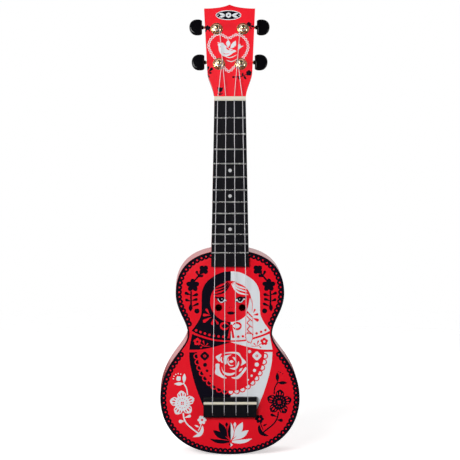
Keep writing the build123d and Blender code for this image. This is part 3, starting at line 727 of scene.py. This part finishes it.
def drawRose(sheet, values):
    for piece in values["pieces"]:
        sheet.add("white", curve(piece, closed=True, steps=3))
    sheet.add("white", leaf((-2.6, -298.3), (3.2, -297.9), 3.4), leaf((13.4, -305.0), (9.4, -309.7), 2.4),
              strand([(-10.4, -292.8), (-11.2, -296.2), (-9.4, -299.6)], 2.0),
              strand([(-2.6, -294.6), (-3.4, -299.0), (-0.6, -302.6), (3.2, -302.4)], 1.5))


def drawShoulderSprigs(sheet):
    flower = lobes(-30.8, -192.6, 4, 3.0, 2.7, 45)
    stems = [stroke([(-33.4, -195.2), (-36.6, -199.6), (-41.6, -205.6)], 1.9),
             petal((-36.4, -200.3), (-39.4, -193.8), 3.3), petal((-38.6, -201.0), (-31.4, -199.0), 3.5),
             star(-43.4, -210.4, 7.7, 4.9),
             stroke([(-45.2, -217.0), (-45.4, -228), (-45.0, -236.0)], 1.9),
             petal((-45.2, -221.8), (-52.6, -218.8), 3.6), petal((-45.2, -223.0), (-37.2, -220.4), 3.6),
             petal((-45.3, -228.9), (-52.0, -226.6), 3.3), petal((-45.3, -228.5), (-37.8, -225.9), 3.4),
             petal((-45.3, -235.0), (-36.6, -231.2), 3.2), leaf((-45.5, -230.8), (-46.1, -240.6), 4.4),
             disc(-38.6, -239.9, 2.9)]
    sheet.pair("black", "black", *flower, *stems)


def drawLaceFlower(sheet, x, z, ink):
    # built about its own middle, so that the two sides can share it
    mirror = 1 if x < 0 else -1
    out = []
    for k in range(5):
        middle = math.radians(95 - 72 * k)
        for swing, r in ((-36, 8.2), (-25, 11.7), (-11, 13.7), (0, 14.8), (11, 13.7), (25, 11.7)):
            angle = middle - math.radians(swing)
            out.append((x + mirror * r * math.cos(angle), z + r * math.sin(angle)))
    sheet.add(ink, out)
    for k in range(5):
        for swing, r, halfLong, halfWide in ((0, 10.1, 2.1, 0.85), (-17, 10.0, 1.7, 0.65),
                                             (17, 10.0, 1.7, 0.65)):
            degrees = 95 - 72 * k + swing
            angle = math.radians(degrees)
            turn = degrees if mirror > 0 else 180 - degrees
            sheet.add("red",
                      oval(x + mirror * r * math.cos(angle), z + r * math.sin(angle), halfLong, halfWide,
                           turn, 10))
    sheet.add("red",
              *[disc(x + 5.5 * math.cos(math.radians(30 * k)), z + 5.5 * math.sin(math.radians(30 * k)),
                     0.55, 8)
                       for k in range(12)])
    for dx in (-0.95, 0.95):
        for dz in (-0.95, 0.95):
            sheet.add("red", [(x + dx - 0.7, z + dz - 0.7), (x + dx + 0.7, z + dz - 0.7),
                              (x + dx + 0.7, z + dz + 0.7), (x + dx - 0.7, z + dz + 0.7)])


def drawLowerFlowers(sheet):
    bud = [blob((-62.0, -316.2), (-60.6, -314.6), (-59.4, -315.2), (-57.6, -315.0), (-57.6, -319.6),
                (-61.6, -319.8)),
           *[disc(-59.9 + 5.7 * math.cos(math.radians(a)), -317.5 + 5.7 * math.sin(math.radians(a)), 0.75, 8)
             for a in (62, 92, 122, 152, 182)]]
    shared = [leaf((-53.6, -323.4), (-52.9, -311.6), 4.0), leaf((-65.2, -323.7), (-54.0, -323.6), 3.9),
              stroke([(-54.4, -322.6), (-50.7, -328.5), (-49.5, -336.6)], 1.35),
              stroke([(-54.4, -357.2), (-53.2, -364.4), (-48.6, -371.5), (-36.6, -381.2)], 1.6),
              petal((-53.6, -363.0), (-45.6, -360.2), 3.4), petal((-52.6, -366.4), (-59.6, -367.2), 4.0),
              blob((-32.6, -371.8), (-31.0, -377.6), (-34.6, -384.0), (-43.4, -385.0), (-38.2, -381.4),
                   (-34.8, -377.4)),
              *lobes(-32.9, -365.3, 6, 3.4, 1.75, 0),
              stroke([(-33.6, -369.0), (-35.2, -373.6), (-37.2, -378.0)], 1.0),
              leaf((-41.6, -371.2), (-36.4, -373.6), 2.0)]
    for ink, side in (("white", -1), ("black", 1)):
        own = [[(-side * x, z + (1.0 if side > 0 else 0.0)) for x, z in shape] for shape in shared]
        sheet.add(ink, *own)
        lift = 1.0 if side > 0 else 0.0
        sheet.add("red", disc(side * 32.9, -365.3 + lift, 1.3, 10))
        drawLaceFlower(sheet, side * 55.4, -346.0 + lift, ink)
    sheet.add("white", *bud)
    sheet.add("black", disc(56.6, -310.6, 0.8, 8), disc(59.4, -312.2, 0.6, 8), disc(54.6, -309.8, 0.5, 8))


def drawLotus(sheet):
    half = [[(0.3, -391.8), (-2.6, -394.0), (0.3, -396.6)],
            [*curve([(-1.5, -389.4), (-12.0, -388.2), (-24.4, -387.0)]),
             *curve([(-24.4, -387.0), (-17.6, -391.4), (-9.4, -392.8), (-1.5, -391.4)])[1:]],
            leaf((-0.9, -389.2), (-20.4, -377.2), 6.6, 0.6, 0.8),
            leaf((-1.7, -387.2), (-13.6, -368.0), 7.6, 0.58, 0.9),
            leaf((-4.7, -374.2), (-4.7, -367.9), 3.2),
            stroke([(-4.7, -372.5), (-4.3, -377.0), (-2.2, -384.0)], 0.8)]
    sheet.pair("black", "white", *half)
    petalHalf = [(-0.05, -368.0), (-2.2, -373.0), (-3.6, -378.6), (-3.0, -383.4), (-1.0, -387.6),
                 (-0.05, -388.8)]
    sheet.pair("red", "red",
               [(x - 0.8 if x < -0.1 else x, z + (0.6 if z > -380 else -0.6)) for x, z in petalHalf])
    sheet.pair("black", "white", petalHalf)


def drawHeadstock(sheet):
    heart = curve([(-1.3, 28.9), (-9.0, 35.6), (-16.7, 43.5), (-22.4, 51.2), (-25.3, 59.7), (-22.6, 67.2),
                   (-16.7, 72.6),
                   (-10.2, 73.3), (-1.3, 68.6), (6.9, 72.6), (14.1, 71.9), (20, 65.8), (22, 57.7),
                   (18.7, 48.9),
                   (12.6, 41.6), (5.4, 34.4)], closed=True, steps=5)
    heart = [(-1.3 + 0.95 * (x + 1.3), 29.4 + 0.97 * (z - 29.4)) for x, z in heart]
    links = spaced(heart, 3.3)
    sheet.add("white", *[disc(x, z, 1.6, 12) for x, z in links])
    sheet.add("red", *[disc(x, z, 0.85, 8) for x, z in links])
    sheet.add("white",
              blob((-13.6, 60.4), (-11.8, 61.4), (-8.2, 62.2), (-5.4, 59.4), (-1.2, 56.0), (3.8, 54.4),
                   (7.4, 52.4),
                   (3.6, 50.2), (-0.6, 47.2), (-5.6, 46.0), (-9.6, 48.4), (-12.2, 52.6), (-12.8, 57.4)),
              leaf((-2.0, 56.4), (-1.6, 65.4), 4.6), leaf((0.6, 55.6), (6.8, 64.6), 5.0, 0.5, -0.8),
              [(9.2, 53.8), (15.6, 58.6), (12.6, 58.4), (11.6, 61.2), (9.6, 60.0)],
              [(-12.6, 61.2), (-14.4, 62.6), (-11.4, 62.4)],
              strand([(-5.6, 46.2), (0.6, 44.8), (8.6, 48.6)], 1.0),
              strand([(-4.0, 42.0), (2.2, 40.2), (8.4, 43.6)], 0.9))
    sheet.add("red", leaf((-4.8, 57.0), (0.0, 53.4), 2.0),
              strand([(0.4, 52.4), (4.6, 54.6), (5.6, 59.0)], 0.8),
              disc(-10.6, 57.4, 0.55, 8), strand([(-8.0, 50.6), (-4.4, 49.0), (-0.2, 50.0)], 0.7))
    sheet.add("black", *lobes(-25.2, 79.6, 5, 1.7, 1.3, 90), leaf((-24.4, 78.4), (-20.0, 80.6), 2.0),
              leaf((-26.6, 78.2), (-27.6, 74.4), 1.8), leaf((-23.6, 78.0), (-22.6, 75.0), 1.5),
              *lobes(21.8, 83.6, 5, 1.7, 1.3, 90), leaf((23.4, 82.4), (28.2, 80.4), 2.2),
              leaf((22.8, 81.0), (25.0, 78.0), 1.6),
              petal((-25.2, 27.2), (-19.6, 33.0), 3.2), petal((-25.2, 29.8), (-24.4, 34.8), 2.4),
              petal((-25.2, 26.6), (-20.6, 27.4), 2.4), petal((-24.8, 25.2), (-23.4, 21.6), 1.8),
              *lobes(21.6, 27.0, 5, 1.9, 1.5, 90), stroke([(20.4, 26.0), (14.0, 23.4), (4.4, 22.2)], 0.9),
              leaf((13.8, 23.4), (15.0, 27.6), 2.2), leaf((15.6, 24.0), (18.6, 19.4), 2.4),
              leaf((9.8, 22.8), (11.2, 19.4), 1.9), disc(3.9, 22.2, 1.2, 10), disc(7.2, 22.5, 1.0, 10))
    sheet.add("black",
              blob((-14.4, 10.4), (-12.8, 9.6), (-11.2, 10.6), (-9.6, 9.6), (-7.8, 10.4), (-8.6, 6.4),
                            (-11.0, 4.8), (-13.6, 6.4)),
              stroke([(-11.0, 5.2), (-11.2, 1.4)], 0.9), leaf((-11.1, 1.4), (-14.4, 3.8), 1.4),
              leaf((-11.1, 1.4), (-8.2, 3.8), 1.4))
    # a plain leafy crest where a maker would sign
    sheet.add("white", oval(-1.3, 94.4, 14.6, 5.7, 0, 36))
    sheet.add("black", oval(-1.3, 94.4, 13.7, 4.9, 0, 36))
    sheet.add("white", *lobes(-1.3, 94.4, 6, 2.0, 1.25, 30), leaf((-4.6, 94.4), (-12.6, 96.6), 2.4),
              leaf((-4.6, 94.0), (-12.4, 91.8), 2.4), leaf((2.0, 94.4), (10.0, 96.6), 2.4),
              leaf((2.0, 94.0), (9.8, 91.8), 2.4), disc(-13.4, 94.2, 0.7, 8), disc(10.8, 94.2, 0.7, 8))
    sheet.add("black", disc(-1.3, 94.4, 1.0, 10))


printShift = 0.9
films = {"top": 0.05, "bodySink": 0.26, "headSink": 0.02, "tilt": 14.0, "faceFoot": 4.9}
keepOpen = {"holes": [(0.5 - 13.45, -236.1), (0.5 + 13.45, -236.1)], "radius": 4.05}


def insideShape(x, z, shape):
    winding = 0
    for (ax, az), (bx, bz) in zip(shape, shape[1:] + shape[:1]):
        turn = (bx - ax) * (z - az) - (x - ax) * (bz - az)
        if az <= z < bz and turn > 0:
            winding += 1
        elif bz <= z < az and turn < 0:
            winding -= 1
    return winding != 0


def printFilms(name, sheet, place, top, sink):
    # the flat drawing is cut where its shapes cross, and each cut takes the colour of the topmost shape
    points, edges, cells = [], [], {}
    cell = 8.0
    for order, (ink, shape) in enumerate(sheet.shapes):
        start, size = len(points), len(shape)
        points += [Vector(p) for p in shape]
        edges += [(start + i, start + (i + 1) % size) for i in range(size)]
        xs, zs = [x for x, z in shape], [z for x, z in shape]
        for u in range(math.floor(min(xs) / cell), math.floor(max(xs) / cell) + 1):
            for v in range(math.floor(min(zs) / cell), math.floor(max(zs) / cell) + 1):
                cells.setdefault((u, v), []).append((ink, shape, min(xs), max(xs), min(zs), max(zs)))
    flat, _, cuts, _, _, _ = delaunay_2d_cdt(points, edges, [], 0, 1e-5, False)
    inkOf = []
    for cut in cuts:
        x = sum(flat[v][0] for v in cut) / len(cut)
        z = sum(flat[v][1] for v in cut) / len(cut)
        found = None
        for ink, shape, x0, x1, z0, z1 in reversed(cells.get(
                (math.floor(x / cell), math.floor(z / cell)), [])):
            if x0 <= x <= x1 and z0 <= z <= z1 and insideShape(x, z, shape):
                found = ink
                break
        inkOf.append(found)
    pieces = []
    for ink in ("black", "white"):
        chosen = [cut for cut, found in zip(cuts, inkOf) if found == ink]
        rims = {(a, b) for cut in chosen for a, b in zip(cut, list(cut[1:]) + [cut[0]])}
        used = sorted({v for cut in chosen for v in cut})
        index = {v: i for i, v in enumerate(used)}
        count = len(used)
        verts = [place(flat[v][0], flat[v][1], top) for v in used]
        verts += [place(flat[v][0], flat[v][1], -sink) for v in used]
        solid = [tuple(index[v] for v in cut) for cut in chosen]
        solid += [tuple(index[v] + count for v in reversed(cut)) for cut in chosen]
        solid += [(index[a], index[a] + count, index[b] + count, index[b])
                  for a, b in sorted(rims) if (b, a) not in rims]
        mesh = bpy.data.meshes.new(f"{name}_{ink}")
        mesh.from_pydata([tuple(c * mm for c in v) for v in verts], [], solid)
        mesh.materials.append(materials[f"{ink}_print"])
        piece = bpy.data.objects.new(f"{name}_{ink}", mesh)
        bpy.context.scene.collection.objects.link(piece)
        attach(piece, "instrument")
        pieces.append(piece)
    return pieces


def onBody(x, z, height):
    return (x + printShift, -height, z)


def onHead(x, s, height):
    tilt = math.radians(films["tilt"])
    return (x, s * math.sin(tilt) - height * math.cos(tilt),
            films["faceFoot"] + s * math.cos(tilt) + height * math.sin(tilt))


bodySheet = Sheet()
drawBorder(bodySheet, border)
drawDoll(bodySheet, shawl)
drawFace(bodySheet, face)
drawFans(bodySheet)
drawBraid(bodySheet, braid)
drawBow(bodySheet)
drawCollarSprigs(bodySheet)
drawApron(bodySheet, apron)
drawRose(bodySheet, rose)
drawShoulderSprigs(bodySheet)
drawLowerFlowers(bodySheet)
drawLotus(bodySheet)
bodySheet.add("red", *[disc(x - printShift, z, keepOpen["radius"], 28) for x, z in keepOpen["holes"]])
bodyFilms = printFilms("body_print", bodySheet, onBody, films["top"], films["bodySink"])
headSheet = Sheet()
drawHeadstock(headSheet)
headFilms = printFilms("head_print", headSheet, onHead, films["top"], films["headSink"])
print("printed films:", [len(piece.data.polygons) for piece in bodyFilms + headFilms])

# floor, background and lights
studio = {"floorRadius": 1.6, "floorColor": (0.93, 0.93, 0.93), "floorGlow": 0.55, "keyPower": 51.0,
          "sidePower": 29.0,
          "frontWorld": 0.012, "backWorld": 0.8}


def addFloor():
    deselect()
    low = cadBox[0][2]
    bpy.ops.mesh.primitive_circle_add(vertices=96, radius=studio["floorRadius"], fill_type="NGON",
                                      location=(0, 0, low - 0.0004))
    floor = bpy.context.object
    floor.name = "floor"
    material, tree, principled = newMaterial("palePaper", {"Roughness": 0.75})
    place = addNode(tree, "ShaderNodeTexCoord", (-1000, 0))
    rim = addNode(tree, "ShaderNodeVectorMath", (-800, 0), operation="LENGTH")
    fade = addNode(tree, "ShaderNodeMapRange", (-600, 0), {
        "From Min": 0.35 * studio["floorRadius"], "From Max": 0.98 * studio["floorRadius"],
        "To Min": 1.0, "To Max": 0.0}, interpolation_type="SMOOTHSTEP")
    paper = useGroup(tree, surfaceDrift, (-500, 300), {
        "Color": (*studio["floorColor"], 1), "Amount": 0.005, "Scale": 3.0, "Roughness": 0.75})
    link(tree, place.outputs["Object"], rim.inputs[0])
    link(tree, rim.outputs["Value"], fade.inputs["Value"])
    link(tree, fade.outputs["Result"], principled.inputs["Alpha"])
    link(tree, paper.outputs["Color"], principled.inputs["Base Color"])
    principled.inputs["Emission Color"].default_value = (1, 1, 1, 1)
    principled.inputs["Emission Strength"].default_value = studio["floorGlow"]
    # bright to the eye, dim in what the gloss mirrors
    dim = addNode(tree, "ShaderNodeBsdfDiffuse", (100, -500), {"Color": (0.10, 0.10, 0.10, 1)})
    path = addNode(tree, "ShaderNodeLightPath", (100, 500))
    mix = addNode(tree, "ShaderNodeMixShader", (500, 0))
    link(tree, path.outputs["Is Camera Ray"], mix.inputs[0])
    link(tree, dim.outputs[0], mix.inputs[1])
    link(tree, principled.outputs[0], mix.inputs[2])
    link(tree, mix.outputs[0], tree.nodes["Material Output"].inputs["Surface"])
    floor.data.materials.append(material)


def addSoftbox(name, place, size, power, aim):
    data = bpy.data.lights.new(name, "AREA")
    data.shape = "RECTANGLE"
    data.size, data.size_y = size
    data.energy = power
    light = bpy.data.objects.new(name, data)
    light.location = place
    light.rotation_euler = (Vector(place) - Vector(aim)).to_track_quat("Z", "Y").to_euler()
    bpy.context.scene.collection.objects.link(light)


def addWorld():
    # white to the eye, but a darker room in front of the instrument for its gloss to mirror
    world = bpy.data.worlds.new("studio")
    bpy.context.scene.world = world
    world.use_nodes = True
    tree = world.node_tree
    seen = tree.nodes["Background"]
    seen.inputs["Color"].default_value = (1, 1, 1, 1)
    lit = addNode(tree, "ShaderNodeBackground", (-100, -200))
    place = addNode(tree, "ShaderNodeTexCoord", (-900, -200))
    split = addNode(tree, "ShaderNodeSeparateXYZ", (-700, -200))
    room = addNode(tree, "ShaderNodeMapRange", (-500, -200), {
        "From Min": -0.35, "From Max": 0.15, "To Min": studio["frontWorld"], "To Max": studio["backWorld"]},
        interpolation_type="SMOOTHSTEP")
    path = addNode(tree, "ShaderNodeLightPath", (-300, 300))
    mix = addNode(tree, "ShaderNodeMixShader", (150, 0))
    link(tree, place.outputs["Generated"], split.inputs[0])
    link(tree, split.outputs["Y"], room.inputs["Value"])
    link(tree, room.outputs["Result"], lit.inputs["Strength"])
    link(tree, path.outputs["Is Camera Ray"], mix.inputs[0])
    link(tree, lit.outputs[0], mix.inputs[1])
    link(tree, seen.outputs[0], mix.inputs[2])
    link(tree, mix.outputs[0], tree.nodes["World Output"].inputs["Surface"])


addFloor()
addWorld()
middle = cameraSetup["lookAt"]
addSoftbox("keySoftbox", (-0.9, -2.0, 0.6), (1.2, 0.9), studio["keyPower"], middle)
addSoftbox("leftSoftbox", (-2.3, -1.3, -0.4), (0.8, 1.6), studio["sidePower"], middle)
addSoftbox("rightSoftbox", (2.3, -1.3, -0.4), (0.8, 1.6), studio["sidePower"], middle)
print("stage set")
